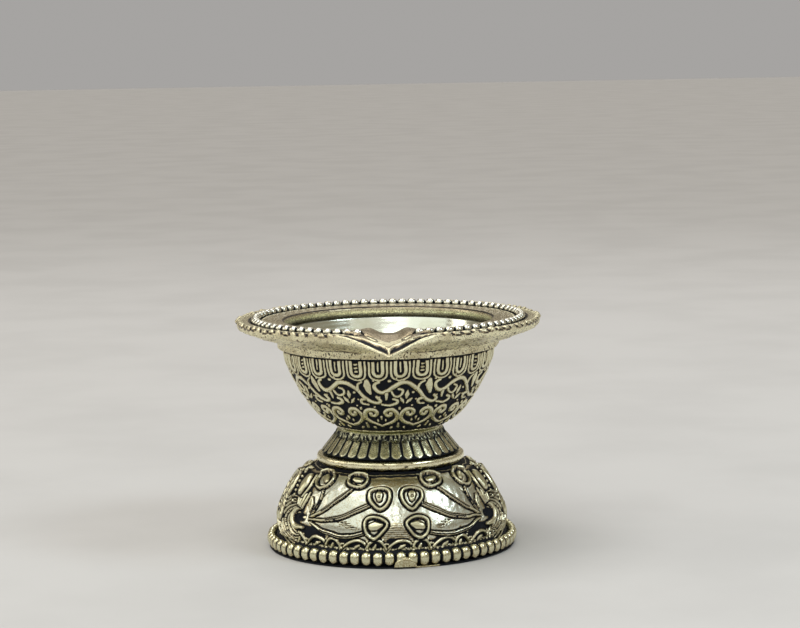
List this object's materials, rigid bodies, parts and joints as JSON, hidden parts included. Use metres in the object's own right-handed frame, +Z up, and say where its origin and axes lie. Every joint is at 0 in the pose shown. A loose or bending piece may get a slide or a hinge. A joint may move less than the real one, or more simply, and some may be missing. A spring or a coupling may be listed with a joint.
{
  "type": "diya oil lamp",
  "caption": "Footed metal oil lamp: a round bowl for oil with a beaded flange and a pointed wick spout, on a fluted neck and a hollow domed base.",
  "frame": {"origin": "middle of the lamp's outline on the surface it stands on; the lamp's own axis is 3.25 mm from it towards +Y, because the spout overhangs on the other side", "axes": "+Z up along the lamp's axis, -Y towards the spout, +X to the right of someone who faces the spout"},
  "size_m": [0.076, 0.0826, 0.0586],
  "materials": {
    "bowl_brass": "polished inside, antiqued relief outside",
    "antique_brass": "pale cast brass with black patina in the recesses",
    "fastener_steel": "plain zinc-plated"
  },
  "bodies": {
    "root": {"bowl": "bowl_brass", "rim_flange": "antique_brass", "rim_bead_ring": "antique_brass", "neck_collar": "antique_brass", "seam_ring": "antique_brass", "base_dome": "antique_brass", "foot_bead_ring": "antique_brass", "tie_stud": "fastener_steel", "washer": "fastener_steel", "hex_nut": "fastener_steel"}
  },
  "joints": []
}
